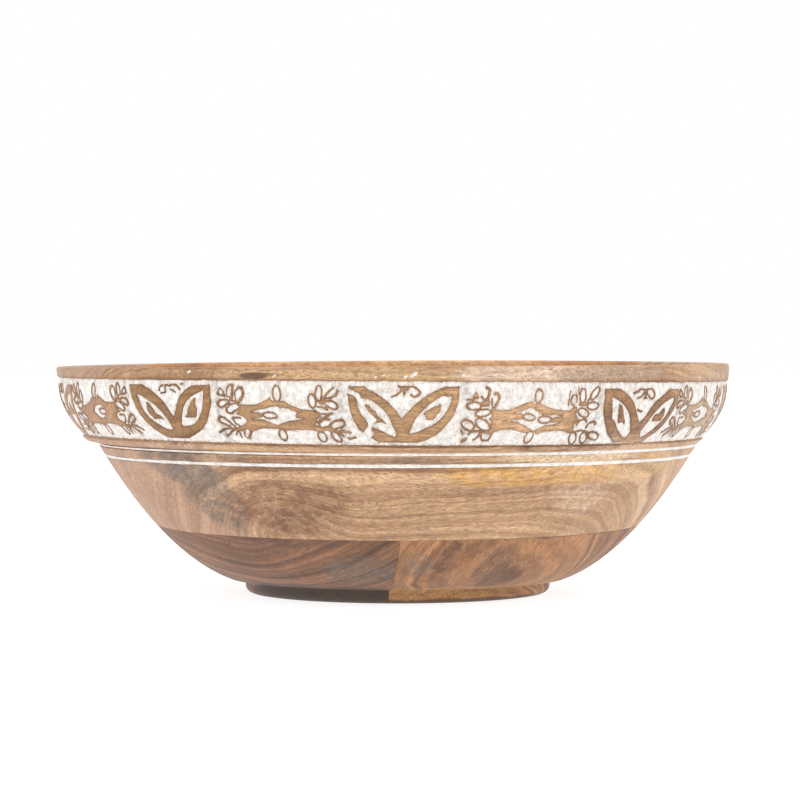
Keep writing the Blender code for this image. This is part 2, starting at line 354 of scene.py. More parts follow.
BRANCH_LONG = {
    "wood": [[
        [(-17.6, 90.6), (-16.4, 89), (-12.2, 88.6), (-8.5, 88.9), (-5.8, 90), (-3.6, 90.9)],
        [(-2.2, 92.1), (-1.2, 90.5), (1.9, 90.3), (4.2, 90.2), (6, 88.9), (8.3, 88), (11.5, 87)],
        [(16.4, 86.6), (17.8, 85.6)], [(19.8, 84.2), (17.6, 82.6)],
        [(16.6, 80.6), (19, 79.6), (22.6, 80.2), (24.5, 78.6)],
        [(24.2, 77.4), (21, 77.9), (17, 77.6), (13.3, 78.2), (9.2, 78.3), (5.5, 78)],
        [(2.4, 77.6), (-0.1, 78.5), (-5.8, 78.6), (-9.5, 78.2), (-12.6, 77.3)],
        [(-13.6, 76.2), (-15.2, 78), (-18.4, 77.2)], [(-22.8, 78.4), (-19, 79)],
        [(-15.9, 80.2), (-14.5, 81.6), (-15.4, 83.4)], [(-19, 84.5), (-17, 86.4), (-17.2, 88)],
        [(-19.8, 90.2), (-18.6, 90.6)],
    ], [
        [(-21.2, 90.2)], [(-20.9, 92.2)], [(-19.7, 92.2), (-19.3, 89.8)],
    ], [
        [(19, 91)], [(21.6, 91.2), (21.2, 89), (18.8, 89.4)],
    ]],
    "cut": [[
        [(-11.3, 85.5), (-8.5, 86.4), (-4.9, 87), (-2.6, 87.7), (-0.4, 88.2), (1.9, 87.5), (4.6, 87.4),
         (6.9, 86.5)], [(9.2, 85.7), (8.3, 84.4), (8.6, 83.2)],
        [(12.1, 83.1), (8.7, 82.4), (4.6, 81.8), (1.9, 80.9)],
        [(-0.4, 80.1), (-2.2, 80.7), (-4.9, 81.6), (-6.7, 82.4)],
        [(-11.3, 82.7), (-7.2, 83.3), (-6.6, 84.6), (-8.5, 85.4)],
    ]],
    "lines": {
        0.2: [[(-26.4, 93.6), (-25.4, 95.6), (-23.8, 94.2)]],
        0.22: [[(-16.6, 95.8), (-18.1, 93.8), (-18, 91)]],
        0.25: [[(-16.7, 77.6), (-17.6, 75.5), (-16.8, 74.2)]],
        0.3: [
            [(-19.9, 91.6), (-21.9, 92.2), (-22, 95), (-20.7, 97)],
            [(-23.1, 86.8), (-20.8, 88.6), (-18.5, 89.1)], [(-21, 82.5), (-19.9, 80.4), (-17.6, 79)],
            [(-19.9, 77.6), (-22, 75.5)], [(-19.5, 77.6), (-19.5, 74.5)],
        ],
        0.35: [[(16.9, 86.6), (19.6, 85.1), (24.2, 85.4)], [(29.2, 80.6), (27.4, 79.3), (25.2, 78.9)]],
        0.38: [[(-26.5, 93.2), (-24.7, 92.5), (-23.1, 92.3), (-23.6, 93.8)]],
        0.4: [
            [(-21.2, 89.9), (-23.1, 90.7), (-25.8, 90.2), (-27, 89), (-26, 87.5), (-24, 87.8),
             (-21.7, 89.3)], [(-21, 82.8), (-19.4, 83.1), (-17.4, 82.9)],
            [(21, 91.4), (22.4, 93.6), (25.1, 96)], [(18.3, 88), (20.1, 88), (22.4, 86.7)],
            [(24.2, 85.4), (21.9, 84.1), (19.6, 83), (17.4, 81.4)],
            [(23, 82.8), (20.3, 82.7), (18.3, 81), (18.6, 79.4)], [(26, 77.6), (28.3, 75.7)],
            [(30.1, 74.9), (31.8, 74.8), (33.4, 75.3)],
        ],
        0.42: [
            [(-23.1, 87), (-22.8, 85.2), (-20.8, 84.9), (-19, 85.9), (-16.5, 87.2)],
            [(-23.1, 79.3), (-25.8, 80), (-28.3, 81.6), (-27.4, 83.1), (-25.4, 83), (-23.5, 81.4),
             (-21, 79.3)],
            [(-20.4, 78.2), (-23.5, 77), (-24.9, 75.8), (-27, 75)],
            [(20.8, 90.5), (23.3, 90.6), (25.5, 90), (26.8, 88.4), (25.5, 87), (23.3, 87.8), (21.9, 88.2)],
        ],
        0.45: [
            [(-22.6, 78.4), (-26.7, 77.9), (-29.9, 76.4)],
            [(21.2, 91.4), (24.2, 92), (26, 93), (26.9, 94.8)],
            [(22.4, 80), (24.6, 81.8), (27.8, 82.6), (29.2, 81.7)],
        ],
        0.5: [[(24.4, 77.8), (28.3, 77.8), (31.3, 77.3)]],
        0.55: [
            [(-20.5, 97), (-19.3, 96.6), (-19.4, 94), (-19.9, 91.4)],
            [(-13.9, 77), (-14.6, 75.8), (-15.8, 74.3)],
        ],
        0.6: [[(-16.3, 95.8), (-15.2, 95.8), (-14.4, 94.1), (-14.9, 91.8), (-16.5, 89.8)]],
    },
    "ovals": [
        (-3.2, 84.2, 3.1, 1.3, -3), (0.8, 93.4, 3.4, 1.65, 93), (1, 75.9, 2.4, 1.8, 88),
        (18.9, 93.7, 3.2, 1.4, 88), (16, 90.5, 2.9, 1.55, 97), (18.8, 75.4, 2.3, 1.7, -65),
        (25, 75.4, 2.7, 1.4, -48),
    ],
}
BRANCH_SMALL = {
    **BRANCH_LONG,
    "cut": [[
        [(-6.4, 84.8), (-3, 87.2)], [(2, 86.6)], [(5.6, 84), (1.2, 81.2)], [(-3, 81.5)],
    ]],
}
BRANCH_WIDE = {
    "wood": [[
        [(-18.3, 87.6), (-14.5, 87), (-10.4, 87.7), (-7.2, 89.1), (-4.5, 90.2)],
        [(-1.7, 90.8), (-0.6, 89.6)],
        [(1.5, 90.2), (4.2, 88.9), (6.9, 88), (10.1, 87.3), (13.7, 87), (16.5, 86.9)],
        [(18.2, 88.6), (19.8, 88.4), (20.1, 86.6), (20.3, 84.8)],
        [(22.6, 82.6), (20.7, 80.9), (21.2, 78.6)],
        [(22.4, 77.3), (19.6, 77), (16, 78), (11.5, 78.2), (6.9, 77.7)], [(2.8, 76.8), (1.2, 78.4)],
        [(-1.3, 77.3), (-4.5, 77.7), (-8.1, 78.6), (-12.2, 78.9), (-14.9, 78.4), (-17.6, 77.5)],
        [(-18.2, 76.6), (-20.8, 77.2)], [(-24.2, 77.6), (-22, 79)], [(-19.7, 80), (-19.1, 81.8)],
        [(-20.6, 83.4), (-19.2, 84.6), (-19.8, 86.4)], [(-19.6, 89.2)],
    ], [
        [(-24.4, 90.6), (-21.2, 91.2)], [(-20.6, 88.8), (-24.6, 88.6)],
    ], [
        [(21.2, 90.8)], [(25.6, 90.5), (24.2, 88.9), (20.8, 89)],
    ]],
    "cut": [[
        [(-10.1, 85.9), (-6.7, 86.6), (-4.5, 87.5), (-2.2, 88.1)],
        [(-0.6, 88.1), (1.9, 86.8), (4.6, 85.3), (9.2, 85)],
        [(13.5, 84.5), (9.2, 83.9), (7.6, 82.6), (8.7, 81.8)],
        [(13.5, 82), (9.6, 80.9), (5.5, 80.5), (3.3, 79.2)],
        [(0.8, 78.4), (-1.3, 79.3), (-4.5, 80.9), (-6.7, 81.8), (-8.5, 82.3)],
        [(-13.8, 82.8), (-7.2, 83.1), (-4.9, 83.8), (-5.2, 85.2), (-6.7, 85.8)],
    ]],
    "lines": {
        0.22: [[(18.2, 93.4), (19.2, 93), (19.4, 90.4)]],
        0.25: [[(16.2, 95.2), (15.5, 93.2), (15.5, 89.2)], [(20.1, 96.4), (20.2, 94)]],
        0.3: [[(-19.9, 91.8), (-19.6, 89)], [(-30.6, 91.4), (-28.1, 91.4)], [(-32, 78.6), (-31, 77.2)]],
        0.4: [
            [(-27.2, 78), (-28.5, 76.8)],
            [(-22.9, 77.3), (-22.4, 75.9), (-21.7, 74.4), (-19.1, 74.4), (-18.1, 76.8)],
            [(17.4, 93.4), (16.5, 91.8), (16.9, 89.8), (18.3, 88.7)], [(25.1, 91.2), (26.2, 92.4)],
            [(21.9, 80.6), (22.4, 82), (23.6, 82.8), (25.5, 83), (26.6, 82)],
            [(22.2, 77.6), (26, 78.2), (30, 77.2)],
        ],
        0.45: [
            [(-21.7, 91.7), (-23.3, 91.5), (-24.2, 92.6)], [(-23, 77.5), (-23.9, 76), (-25.4, 74.6)],
            [(-0.6, 88), (4, 85.2)],
        ],
        0.5: [
            [(-18.8, 93.9), (-17.4, 94.1), (-16.7, 92), (-17.9, 89.3), (-18.4, 88)],
            [(-20.4, 77.7), (-24.2, 78.2), (-27.2, 78)],
            [(27.4, 79.5), (28.3, 81.4), (31, 81.9), (31.9, 80.9)],
        ],
        0.6: [
            [(-22.2, 96.3), (-20.9, 95.7), (-21.3, 93.2), (-21.7, 91.6)],
            [(-27.6, 91.6), (-26.7, 93.8), (-26.2, 92.3)], [(-30.6, 73.9), (-29.2, 74.8)],
        ],
    },
    "ovals": [
        (-2.3, 84.1, 2.8, 1.35, -12), (5.2, 83, 3.1, 1.45, -3), (1, 93, 2.9, 1.65, 80),
        (-0.1, 75.6, 2.6, 1.85, 80), (-27.4, 88.8, 3, 1.6, 0), (-23.3, 85.9, 3.3, 1.5, 8),
        (-29.2, 80.7, 3.1, 1.9, -30), (-22.7, 81, 3.8, 1.9, -33), (22.3, 93.2, 3, 1.5, 88),
        (28.5, 94.1, 3.3, 1.4, 50), (28, 88.8, 2.9, 1.6, 0), (23.7, 85.9, 3.1, 1.6, -25),
        (22.6, 74.9, 2.8, 1.7, -60), (28.4, 75, 2.7, 1.7, -55), (33.6, 75.8, 3.3, 1.5, -18),
    ],
}

# Where each motif stands: degrees from the front, the drawing, stretch along the band, and mirrored
MOTIFS = [
    (-39, LEAVES_LEFT, 1, 1), (1.75, LEAVES_OPEN, 1, 1), (45, LEAVES_RIGHT, 1, 1),
    (84.5, LEAVES_LEFT, 0.97, -1), (124.5, LEAVES_RIGHT, 1.02, 1), (164.5, LEAVES_LEFT, 1.03, 1),
    (-155.5, LEAVES_RIGHT, 0.98, -1), (-116, LEAVES_LEFT, 1, -1), (-77.5, LEAVES_RIGHT, 0.96, 1),
    (-58.4, BRANCH_SMALL, 0.97, -1), (-18.8, BRANCH_LONG, 1, 1), (23.2, BRANCH_WIDE, 1, 1),
    (64, BRANCH_LONG, 0.96, 1), (104.5, BRANCH_WIDE, 0.97, -1), (144.5, BRANCH_LONG, 1, 1),
    (-175.5, BRANCH_WIDE, 1, 1), (-135.5, BRANCH_WIDE, 0.98, -1), (-97, BRANCH_LONG, 0.97, 1),
]
LEAF_ANGLES = [row[0] for row in MOTIFS if "ovals" not in row[1]]
BRANCH_ANGLES = [row[0] for row in MOTIFS if "ovals" in row[1]]
MOTIF_REACH = 37


def drawn(x, z, motif):
    """How far points are inside a motif's wood."""
    found = np.full(x.shape, -np.inf)
    for arcs in motif["wood"]:
        found = np.maximum(found, inside_distance(x, z, arcs))
    for arcs in motif["cut"]:
        found = np.minimum(found, -inside_distance(x, z, arcs))
    for arcs in motif.get("isle", ()):
        found = np.maximum(found, inside_distance(x, z, arcs))
    wobble = 0.05 * np.sin(1.9 * x + 1.1 * z) + 0.05 * np.sin(1.3 * z - 2.3 * x + 1.0)
    for oval in motif.get("ovals", ()):
        away = oval_distance(x, z, oval)
        found = np.minimum(found, away)
        found = np.maximum(found, LINE_HALF + wobble - np.abs(away))
    for half, strokes in motif["lines"].items():
        for points in strokes:
            line = np.vstack([curve(points), points[-1:]])
            found = np.maximum(found, half + LINE_SPREAD + wobble - stroke_distance(x, z, line))
    return found


def along_band(angle, middle):
    """The distance along the band from a place in degrees, between half a turn back and ahead."""
    return ((angle - math.radians(middle) + math.pi) % math.tau - math.pi) * BAND_RADIUS


def carving(angle, z):
    """How far a point of the band is inside the wood left standing."""
    edge = 0.10 * np.sin(angle * 61) + 0.08 * np.sin(angle * 143 + 1)
    found = np.maximum(z - BAND_HIGH + edge, BAND_LOW - z + 0.6 * edge)
    for middle, motif, stretch, side in MOTIFS:
        x = along_band(angle, middle) * side / stretch
        near = np.abs(x) < MOTIF_REACH
        if near.any():
            found[near] = np.maximum(found[near], drawn(x[near], z[near], motif))
    return found


def smooth_step(value):
    value = np.clip(value, 0, 1)
    return value * value * (3 - 2 * value)


# ---- meshes
def place(angle, radius, z):
    """Points in metres, from an angle, a radius and a height in millimetres."""
    flat = np.zeros_like(angle)
    return np.stack([radius * np.sin(angle), -radius * np.cos(angle), z + flat], axis=-1) * MM


def even_angles(count):
    return np.linspace(-math.pi, math.pi, count, endpoint=False)


def band_angles():
    """The columns of the carved band, closer together where its lines are fine."""
    fine, wide = ((0.27, 0.42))
    scan = np.linspace(-math.pi, math.pi, 36001)
    step = np.full(scan.shape, wide)
    for middle in BRANCH_ANGLES:
        x = along_band(scan, middle)
        step[(np.abs(x) > 12) & (np.abs(x) < 36)] = fine
        step[np.abs(x + 1) < 7] = fine
    for middle in LEAF_ANGLES:
        step[np.abs(along_band(scan, middle)) < 8] = fine
    count = np.concatenate([[0.0], np.cumsum(BAND_RADIUS * np.diff(scan) / step[1:])])
    total = int(count[-1])
    return np.interp(np.arange(total) * count[-1] / total, count, scan)


class Skin:
    """A surface built ring by ring, each ring a closed loop of points sorted by angle."""

    def __init__(self):
        self.points = []
        self.faces = []
        self.count = 0
        self.rings = []

    def ring(self, angles, radius, z):
        self.points.append(place(angles, radius, z))
        self.rings.append((self.count, angles))
        self.count += len(angles)
        if len(self.rings) > 1:
            self.join(self.rings[-2], self.rings[-1])

    def join(self, first, second):
        """Faces between two rings: squares where their angles match, and triangles elsewhere."""
        start_a, angles_a = first
        start_b, angles_b = second
        if len(angles_a) == len(angles_b):
            step = np.arange(len(angles_a))
            after = np.roll(step, -1)
            quads = np.stack([start_a + step, start_a + after, start_b + after, start_b + step], 1)
            self.faces += quads.tolist()
            return
        ends_a = [*angles_a[1:], math.pi]
        ends_b = [*angles_b[1:], math.pi]
        i = j = 0
        while i < len(ends_a) or j < len(ends_b):
            a, b = start_a + i % len(ends_a), start_b + j % len(ends_b)
            if j >= len(ends_b) or (i < len(ends_a) and ends_a[i] <= ends_b[j]):
                i += 1
                self.faces.append((a, start_a + i % len(ends_a), b))
            else:
                j += 1
                self.faces.append((a, start_b + j % len(ends_b), b))

    def cap(self, point, last):
        """Closes the first or the last ring with a fan to a point."""
        start, angles = self.rings[-1 if last else 0]
        middle = self.count
        self.points.append(np.array([point]))
        self.count += 1
        for i in range(len(angles)):
            a, b = start + i, start + (i + 1) % len(angles)
            self.faces.append((a, b, middle) if last else (b, a, middle))

    def mesh(self, name):
        made = bpy.data.meshes.new(name)
        made.from_pydata(np.vstack(self.points).tolist(), [], self.faces)
        return made


def turned_solid():
    """The whole bowl as one closed surface, from the middle of its underside up and over."""
    skin = Skin()
    coarse = even_angles(720)
    few = even_angles(360)

    def body_ring(angles, radius, z):
        skin.ring(angles, shifted(radius, angles), z)

    for radius in UNDERSIDE_RADII:
        body_ring(few, radius, 0.05 * (0.5 + 0.5 * math.sin(radius * 1.7)))
    body_ring(few, FOOT_FLAT, 0.0)
    for turn in FOOT_TURNS:
        turn = math.radians(turn)
        body_ring(coarse, FOOT_FLAT + FOOT_OUT * math.sin(turn), FOOT_UP * (1 - math.cos(turn)))
    for radius, z in FOOT_SIDE:
        body_ring(coarse, radius, z)

    shares = [(i / BODY_ROWS) ** BODY_CROWDING for i in range(1, BODY_ROWS - 1)]
    rows = [(BODY_LOW + (BODY_HIGH - BODY_LOW) * share, 0.0) for share in shares]
    rows += [(LOWER_LINE + rise, depth) for rise, depth in NOTCH]
    rows += [(z, 0.0) for z in BETWEEN_LINES]
    rows += [(UPPER_LINE + rise, depth) for rise, depth in NOTCH]
    for z, depth in rows:
        body_ring(coarse, body_radius(z) - depth, z + height_drift(z, coarse))
    for radius, z in UNDER_BAND:
        outer = np.maximum(radius, shifted(body_radius(z), coarse))
        skin.ring(coarse, outer, z + height_drift(z, coarse))

    columns = band_angles()
    heights = np.arange(BAND_LOW - BAND_MARGIN, BAND_HIGH + BAND_MARGIN + 0.05, 0.29)
    grid_angle, grid_z = np.meshgrid(columns, heights)
    depth_in = carving(grid_angle, grid_z)
    stand = smooth_step((depth_in + SLOPE_FOOT) / SLOPE_WIDTH)
    carved = []
    for row, z in enumerate(heights):
        rim_side = smooth_step((z - BAND_HIGH + RIM_EASE) / (2 * RIM_EASE)) * RIM_STEP
        radius = band_radius(z) - RECESS * (1 - stand[row]) + rim_side
        carved.append((skin.count, depth_in[row]))
        skin.ring(columns, radius, z + height_drift(z, columns))

    for radius, z in RIM:
        skin.ring(coarse, radius, z + height_drift(z, coarse))
    for radius in np.linspace(HOLLOW_RADIUS, HOLLOW_ROOT, HOLLOW_ROWS):
        z = hollow_height(radius)
        fade = 0.6 * smooth_step((z - HOLLOW_STILL) / HOLLOW_FADE)
        skin.ring(coarse, radius, z + fade * height_drift(min(z, HOLLOW_LIP), coarse))
    for radius in FLOOR_RADII:
        skin.ring(few, radius, hollow_height(radius))
    skin.cap((0, 0, (HOLLOW_BASE + HOLLOW_FLOOR) * MM), last=True)
    skin.cap((BODY_SHIFT * MM, 0, 0), last=False)

    mesh = skin.mesh("turned")
    # painted shade along the carving's edges: 1 at the edges and on the ground cut away, fading over about
    # half a millimetre into the wood, and 0 elsewhere
    edge = np.zeros(skin.count)
    for start, inside in carved:
        edge[start : start + len(inside)] = np.where(inside > 3, 0, np.exp(-np.maximum(inside, 0) / 0.5))
    add_attribute(mesh, "carve_edge_shade", edge)
    return mesh


# ---- materials
def linear(code):
    """A display colour in six hex digits as linear red, green, blue and alpha."""
    shares = [int(code[i : i + 2], 16) / 255 for i in (0, 2, 4)]
    return [s / 12.92 if s <= 0.04045 else ((s + 0.055) / 1.055) ** 2.4 for s in shares] + [1.0]


class Nodes:
    """A short way to write a material's nodes."""

    def __init__(self, name):
        self.material = bpy.data.materials.new(name)
        self.material.use_nodes = True
        self.tree = self.material.node_tree
        self.shader = self.tree.nodes["Principled BSDF"]
        self.at = self.node("TexCoord").outputs["Object"]

    def put(self, socket, value):
        if hasattr(value, "links"):
            self.tree.links.new(value, socket)
        else:
            socket.default_value = value

    def node(self, kind, **inputs):
        """A node with its inputs set or linked, each named in small letters."""
        made = self.tree.nodes.new("ShaderNode" + kind)
        for name, value in inputs.items():
            self.put(made.inputs[name.replace("_", " ").title()], value)
        return made

    def operate(self, kind, operation, a, b, output=0):
        node = self.node(kind)
        node.operation = operation
        self.put(node.inputs[0], a)
        self.put(node.inputs[1], b)
        return node.outputs[output]

    def add(self, a, b):
        return self.operate("Math", "ADD", a, b)

    def less(self, a, b):
        return self.operate("Math", "SUBTRACT", a, b)

    def times(self, a, b):
        return self.operate("Math", "MULTIPLY", a, b)

    def swing(self, value, amount):
        """A noise between 0 and 1 as a change of some amount to either side of nothing."""
        return self.times(self.less(value, 0.5), amount)

    def vector(self, operation, a, b):
        return self.operate("VectorMath", operation, a, b)

    def length(self, vector):
        return self.operate("VectorMath", "LENGTH", vector, (0, 0, 0), 1)

    def vector_swing(self, value, amount):
        return self.vector("MULTIPLY", self.vector("SUBTRACT", value, (0.5, 0.5, 0.5)), amount)

    def stretched(self, at, scale, turn=(0, 0, 0), move=(0, 0, 0)):
        return self.node("Mapping", vector=at, scale=scale, rotation=turn, location=move).outputs[0]

    def noise(self, at, scale, detail, roughness=0.5, output="Fac"):
        node = self.node("TexNoise", vector=at, scale=scale, detail=detail, roughness=roughness)
        return node.outputs[output]

    def line_noise(self, along, scale, detail):
        node = self.node("TexNoise", scale=scale, detail=detail)
        node.noise_dimensions = "1D"
        self.put(node.inputs["W"], along)
        return node.outputs["Fac"]

    def range(self, value, low, high, to_low=0.0, to_high=1.0):
        node = self.node("MapRange", value=value, from_min=low, from_max=high, to_min=to_low, to_max=to_high)
        node.interpolation_type = "SMOOTHSTEP"
        return node.outputs["Result"]

    def mix(self, share, a, b, blend="MIX"):
        node = self.node("Mix")
        node.data_type = "RGBA"
        node.blend_type = blend
        self.put(node.inputs["Factor"], share)
        self.put(node.inputs[6], a)
        self.put(node.inputs[7], b)
        return node.outputs[2]

    def ramp(self, value, stops):
        node = self.node("ValToRGB", fac=value)
        elements = node.color_ramp.elements
        while len(elements) < len(stops):
            elements.new(0.5)
        for element, (position, colour) in zip(elements, stops):
            element.position = position
            element.color = colour
        return node.outputs["Color"]

    def oval(self, middle, size, turn, uneven):
        """1 inside an oval patch with uneven edges, and 0 away from it. Sizes are in metres."""
        spun = self.stretched(self.vector("SUBTRACT", self.at, middle), (1, 1, 1), (0, turn, 0))
        away = self.length(self.vector("DIVIDE", spun, size))
        return self.range(self.add(away, uneven), 1.25, 0.75)

    def attribute(self, name):
        node = self.node("Attribute")
        node.attribute_name = name
        return node.outputs["Fac"]

    def bump(self, height, distance, strength):
        node = self.node("Bump", height=height, distance=distance, strength=strength)
        self.put(self.shader.inputs["Normal"], node.outputs["Normal"])


def grain_turn(along, across):
    """The rotation that takes the direction of the fibres to X and the normal of the rings to Z."""
    along = Vector(along).normalized()
    side = Vector(across).cross(along).normalized()
    return tuple(Matrix((along, side, along.cross(side))).to_euler())


def stain_and_shade_patch(middle, size, tint, amount, turn=0.0, kind="MIX"):
    """A patch of colour in the wood, used for the wood's own marks and for painted shade, with its middle
    and half sizes in millimetres and its turn about Y.
    """
    return [v * MM for v in middle], [v * MM for v in size], tint, amount, turn, kind


MOTTLED = 0.8


def wood(name, tints, pith, turn, stains_and_shade, swirls=(), ring=1.0, contrast=1.0, fine=1.0):
    """Solid mango wood: growth rings about a pith line, and pores that run along it.

    The tints are light, middle and dark. A swirl is a place, a size and how far it lifts the rings.
    """
    n = Nodes(name)
    grain = n.stretched(n.vector("SUBTRACT", n.at, pith), (1, 1, 1), turn)
    # slow bends of the rings, longer along the grain than across it
    bend = n.noise(n.stretched(grain, (9, 24, 24)), 1.0, 2.0, output="Color")
    bent = n.vector("ADD", grain, n.vector_swing(bend, (0, 0.014, 0.014)))
    ripple = n.noise(n.stretched(bent, (70, 260, 260)), 1.0, 1.0, output="Color")
    rippled = n.vector("ADD", bent, n.vector_swing(ripple, (0, 0.0016, 0.0016)))
    away = n.length(n.vector("MULTIPLY", rippled, (0, 1, 1)))
    for middle, size, lift in swirls:
        near = n.length(n.vector("DIVIDE", n.vector("SUBTRACT", n.at, middle), size))
        away = n.less(away, n.times(n.range(near, 1.0, 0.0), lift))
    wide = n.line_noise(away, 170.0 * ring, 2.0)
    narrow = n.line_noise(away, 520.0 * ring, 3.0)
    cloud = n.noise(n.stretched(bent, (14, 45, 45)), 1.0, 3.0)
    tone = n.add(n.swing(wide, 0.85 * contrast), n.swing(narrow, 0.5 * contrast))
    tone = n.add(n.add(tone, n.swing(cloud, 0.55 * contrast)), 0.5)
    light, middle, dark = [linear(tint) for tint in tints]
    colour = n.ramp(tone, [(0.22, dark), (0.5, middle), (0.78, light)])
    # stains and painted shade, of which those weaker than MOTTLED are mottled
    uneven = n.less(n.noise(n.at, 60.0, 3.0), 0.5)
    mottle = n.range(n.noise(n.stretched(n.at, (190, 190, 260)), 1.0, 4.0, 0.65), 0.38, 0.60, 0.35, 1.0)
    for middle, size, tint, amount, spin, kind in stains_and_shade:
        share = n.times(n.oval(middle, size, spin, uneven), amount)
        if amount < MOTTLED and kind == "MIX":
            share = n.times(share, mottle)
        colour = n.mix(share, colour, linear(tint), kind)
    # fine fibres, dark specks and open pores
    fibre = n.noise(n.stretched(bent, (200, 1200, 1200)), 1.0, 3.0, 0.7)
    figure = n.noise(n.stretched(bent, (260, 120, 120)), 1.0, 2.0)
    shade = n.add(n.swing(fibre, 1.3 * fine), n.swing(narrow, 0.45 * fine))
    shade = n.add(n.add(shade, n.swing(figure, 0.35 * fine)), 1.0)
    colour = n.vector("MULTIPLY", colour, shade)
    speck = n.range(n.noise(n.stretched(bent, (900, 1900, 1900)), 1.0, 2.0, 0.7), 0.50, 0.68)
    colour = n.mix(n.times(speck, 0.30 * fine), colour, linear("6B4630"))
    streak = n.noise(n.stretched(bent, (260, 2000, 2000), move=(3, 7, 1)), 1.0, 1.0)
    late = n.range(narrow, 0.45, 0.6)
    pore = n.times(n.range(streak, 0.56, 0.68), n.add(n.times(late, 0.7), 0.3))
    colour = n.mix(n.times(pore, 0.55), colour, linear("5A3B28"))
    # painted shade: the wood darkened along the carving's edges, standing for the shadow in the groove
    colour = n.mix(n.times(n.attribute("carve_edge_shade"), 0.7), colour, linear("8A6040"), "MULTIPLY")
    n.put(n.shader.inputs["Base Color"], colour)
    rough = n.add(n.times(fibre, 0.18), 0.42)
    n.put(n.shader.inputs["Roughness"], n.add(rough, n.times(pore, 0.2)))
    n.bump(n.less(n.times(fibre, 0.35), n.times(pore, 0.6)), 0.00012, 0.7)
    return n.material


def paste(name, dirt_and_shade):
    """Rough matt whitewash, with painted shade in brown along the wood's edges and in grey in the upright
    hollows.
    """
    n = Nodes(name)
    grit = n.noise(n.at, 1500.0, 3.0, 0.6)
    lumps = n.noise(n.at, 420.0, 3.0, 0.6)
    scratch = n.noise(n.stretched(n.at, (900, 900, 260), (0.5, 0, 0.3)), 1.0, 3.0, 0.7)
    colour = n.mix(n.range(lumps, 0.44, 0.60), linear("F3EFEB"), linear("E2DBD4"))
    colour = n.mix(n.times(n.range(scratch, 0.50, 0.64), 0.4 * dirt_and_shade), colour, linear("BDB2A6"))
    specks = n.times(n.range(grit, 0.57, 0.66), n.range(lumps, 0.46, 0.58))
    colour = n.mix(n.times(specks, 0.6 * dirt_and_shade), colour, linear("A07A58"))
    # painted shade in the upright hollows, in grey
    grey = n.times(n.attribute("flute"), n.range(lumps, 0.36, 0.62, 0.35, 0.95))
    colour = n.mix(n.times(grey, 0.6 * dirt_and_shade), colour, linear("A39A90"))
    # painted shade in the groove along the wood's edge, in brown
    near = n.times(n.attribute("wood_edge_shade"), n.range(scratch, 0.42, 0.6, 0.2, 1.0))
    colour = n.mix(n.times(near, 0.75 * dirt_and_shade), colour, linear("A5815F"))
    n.put(n.shader.inputs["Base Color"], colour)
    n.put(n.shader.inputs["Roughness"], 0.85)
    n.put(n.shader.inputs["Specular IOR Level"], 0.25)
    n.bump(n.add(n.times(grit, 0.4), n.times(lumps, 0.6)), 0.0003, 0.9)
    return n.material


# ---- pieces
def add_attribute(mesh, name, values):
    layer = mesh.attributes.new(name, "FLOAT", "POINT")
    layer.data.foreach_set("value", values.astype(np.float32).ravel())


def add_piece(name, mesh, node, finish, crease):
    """A visible piece in place of a CAD node, smooth but for creases of some degrees or more."""
    bm = bmesh.new()
    bm.from_mesh(mesh)
    bmesh.ops.delete(bm, geom=[v for v in bm.verts if not v.link_faces], context="VERTS")
    bmesh.ops.recalc_face_normals(bm, faces=bm.faces[:])
    bm.to_mesh(mesh)
    bm.free()
    piece = add_object(name, mesh)
    mesh.materials.append(finish)
    mesh.shade_smooth()
    mesh.set_sharp_from_angle(angle=math.radians(crease))
    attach(piece, "root")
    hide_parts(node)


def board(name, node, planes, finish, whole):
    """The turned solid between the seams of a board.

    A plane is a point, its normal out of the board, and whether it leaves a face to fill.
    """
    bm = bmesh.new()
    bm.from_mesh(whole)
    for point, normal, fill in planes:
        geometry = bm.verts[:] + bm.edges[:] + bm.faces[:]
        cut = bmesh.ops.bisect_plane(
            bm, geom=geometry, dist=1e-8, plane_co=point, plane_no=normal, clear_outer=True
        )
        edges = [e for e in cut["geom_cut"] if isinstance(e, bmesh.types.BMEdge)]
        if fill and edges:
            bmesh.ops.triangle_fill(bm, use_beauty=True, use_dissolve=False, edges=edges, normal=normal)
    mesh = bpy.data.meshes.new(name)
    bm.to_mesh(mesh)
    bm.free()
    add_piece(name, mesh, node, finish, 50)


# The band's paste: how far under the turned surface its face and back lie, and the upright hollows
PASTE_LEVEL = 0.34
PASTE_BACK = 1.1
FLUTE_AT = 26.2
FLUTE_WIDTH = 1.5


def flute(angle):
    """1 in the upright hollows that part the leaves from the branches, and 0 away from them."""
    aways = [np.abs(along_band(angle, middle)) - FLUTE_AT for middle in LEAF_ANGLES]
    return np.max([np.exp(-((away / FLUTE_WIDTH) ** 2)) for away in aways], axis=0)


def paste_level(angle, z, inside):
    """How far the band's paste lies under the turned surface."""
    arc = angle * BAND_RADIUS
    waves = 0.05 * np.sin(arc * 0.9 + 2 * np.sin(z * 0.5)) * np.sin(z * 1.1 + arc * 0.21)
    waves += 0.04 * np.sin(arc * 2.3 + z * 1.7 + np.sin(arc * 0.37)) + 0.15 * flute(angle)
    border = np.exp(-np.minimum(np.abs(z - BAND_LOW), np.abs(BAND_HIGH - z)) / 0.7)
    near = np.exp(np.minimum(inside, 0) / 0.6)
    return PASTE_LEVEL + waves - 0.16 * border - 0.08 * near


